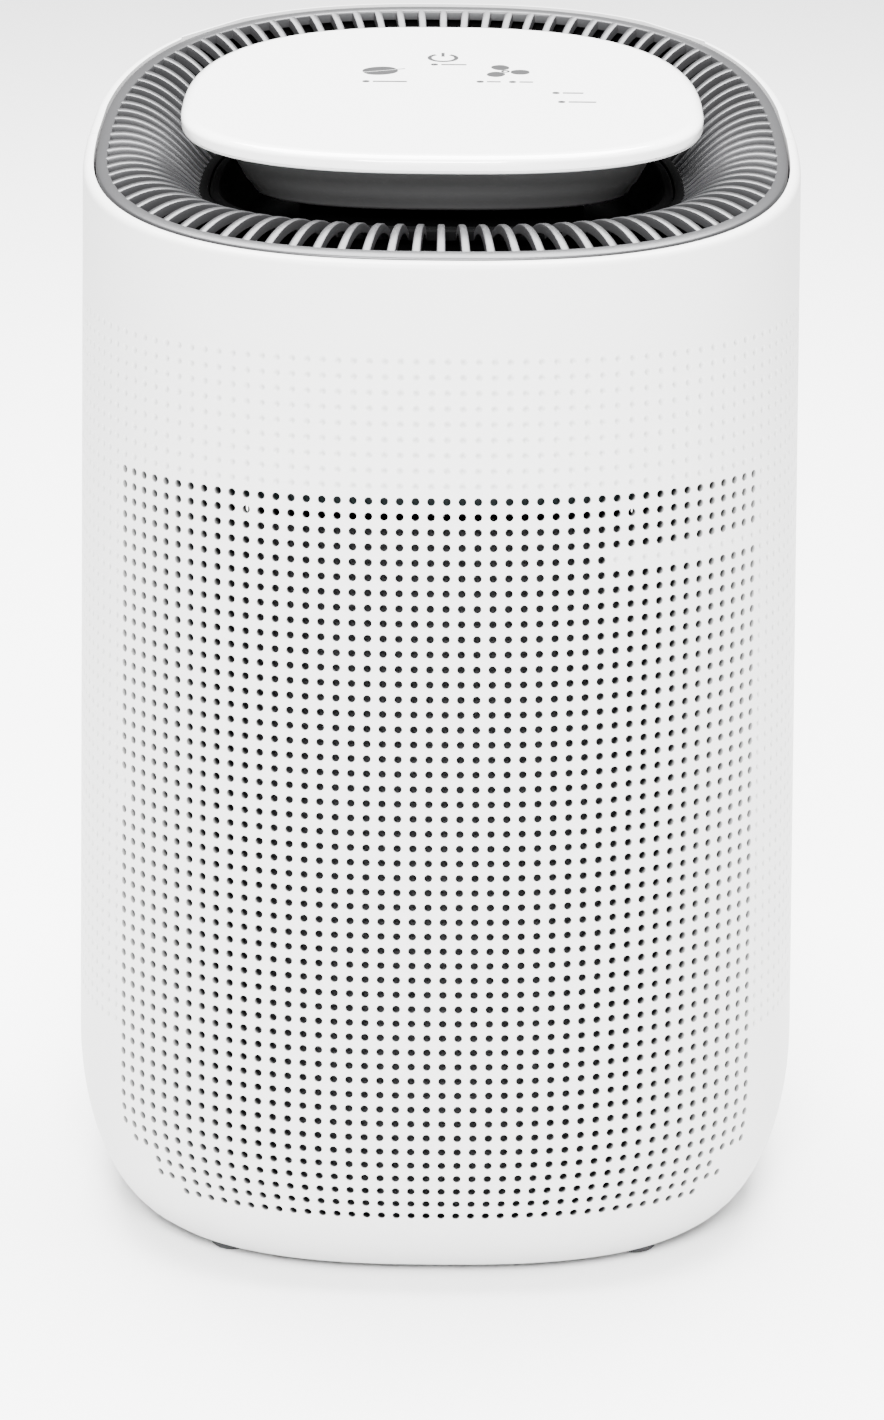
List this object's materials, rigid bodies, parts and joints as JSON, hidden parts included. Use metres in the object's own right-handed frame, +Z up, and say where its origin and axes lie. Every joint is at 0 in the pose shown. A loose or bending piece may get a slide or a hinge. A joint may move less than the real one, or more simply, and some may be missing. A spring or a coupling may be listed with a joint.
{
  "type": "dehumidifier",
  "caption": "Small upright thermoelectric dehumidifier and air cleaner with a perforated rounded casing, ribbed top outlet, raised round control panel, rear water tank and filter door.",
  "frame": {"origin": "on the floor under the middle of the overall box", "axes": "+Z up, the front of the casing faces -Y, the filter door and tank face +Y, +X to the right seen from the front"},
  "size_m": [0.216, 0.2309, 0.3394],
  "materials": {
    "white_shell": "moulded white with a very fine grain",
    "gloss_panel": "polished white",
    "gunmetal": "satin metallic grey coat on plastic",
    "black_plastic": "plain moulded black",
    "grey_plastic": "plain moulded grey",
    "cable_jacket": "soft black jacket",
    "clear_tank": "smoke-tinted see-through plastic",
    "rubber": "matt black rubber",
    "float_foam": "white closed-cell float",
    "aluminium": "extruded, unpainted",
    "steel": "zinc-plated steel",
    "magnet": "nickel-plated magnet",
    "brass": "sintered bush",
    "copper": "copper",
    "ceramic": "white ceramic plates",
    "insulation": "dark closed-cell foam",
    "filter_paper": "pleated filter paper",
    "carbon_cloth": "black carbon-loaded cloth",
    "dark_mesh": "fine dark mesh",
    "board_green": "circuit board with its parts",
    "light_guide": "clear light guide"
  },
  "bodies": {
    "casing": {"base_pan": "black_plastic", "base_screw_front_left": "steel", "base_screw_front_right": "steel", "base_screw_rear_left": "steel", "base_screw_rear_right": "steel", "cold_sink": "aluminium", "control_board": "board_green", "control_cable": "cable_jacket", "control_panel": "gloss_panel", "control_pedestal": "gunmetal", "dc_socket": "black_plastic", "door_pin_lower": "steel", "door_pin_upper": "steel", "drip_tray": "grey_plastic", "dust_screen": "dark_mesh", "fan_bearing": "brass", "fan_housing": "black_plastic", "fan_plate": "black_plastic", "fan_stator": "copper", "foot_front_left": "rubber", "foot_front_right": "rubber", "foot_rear_left": "rubber", "foot_rear_right": "rubber", "front_shell": "white_shell", "hot_sink": "aluminium", "inner_frame": "black_plastic", "insulation_frame": "insulation", "light_guide_1": "light_guide", "light_guide_2": "light_guide", "light_guide_3": "light_guide", "light_guide_4": "light_guide", "light_guide_5": "light_guide", "light_guide_6": "light_guide", "outlet_bowl": "black_plastic", "pedestal_neck": "black_plastic", "peltier_left": "ceramic", "peltier_right": "ceramic", "power_board": "board_green", "rear_shell": "white_shell", "reed_switch": "black_plastic", "shell_magnet": "magnet", "sink_screw_lower": "steel", "sink_screw_upper": "steel", "top_grille": "gunmetal", "touch_pad_dry": "copper", "touch_pad_fan": "copper", "touch_pad_power": "copper"},
    "door": {"filter_door": "white_shell", "filter_frame": "grey_plastic", "hepa_pleats": "filter_paper", "carbon_sheet": "carbon_cloth", "door_magnet": "magnet"},
    "tank": {"water_tank": "clear_tank", "tank_lid": "grey_plastic", "float_pin": "steel"},
    "float": {"float_arm": "float_foam", "float_magnet": "magnet"},
    "plug": {"tank_plug": "rubber"},
    "rotor": {"fan_rotor": "black_plastic", "fan_shaft": "steel"}
  },
  "joints": [
    {"name": "door_hinge", "type": "hinge", "parent": "casing", "child": "door", "pos_m": [-0.06, 0.09961, 0.1085], "axis": [0, -0.0263, 0.9997], "range_deg": [0, 92]},
    {"name": "tank_slide", "type": "slide", "parent": "casing", "child": "tank", "axis": [0, 1, 0], "range_m": [0, 0.14]},
    {"name": "float_hinge", "type": "hinge", "parent": "tank", "child": "float", "pos_m": [0.0585, -0.008, 0.078], "axis": [1, 0, 0], "range_deg": [0, 12]},
    {"name": "plug_lift", "type": "slide", "parent": "tank", "child": "plug", "axis": [0, 0, 1], "range_m": [0, 0.0038]},
    {"name": "fan_spin", "type": "hinge", "parent": "casing", "child": "rotor", "pos_m": [0, 0.002, 0.25], "axis": [0, 0, 1], "continuous": true}
  ]
}
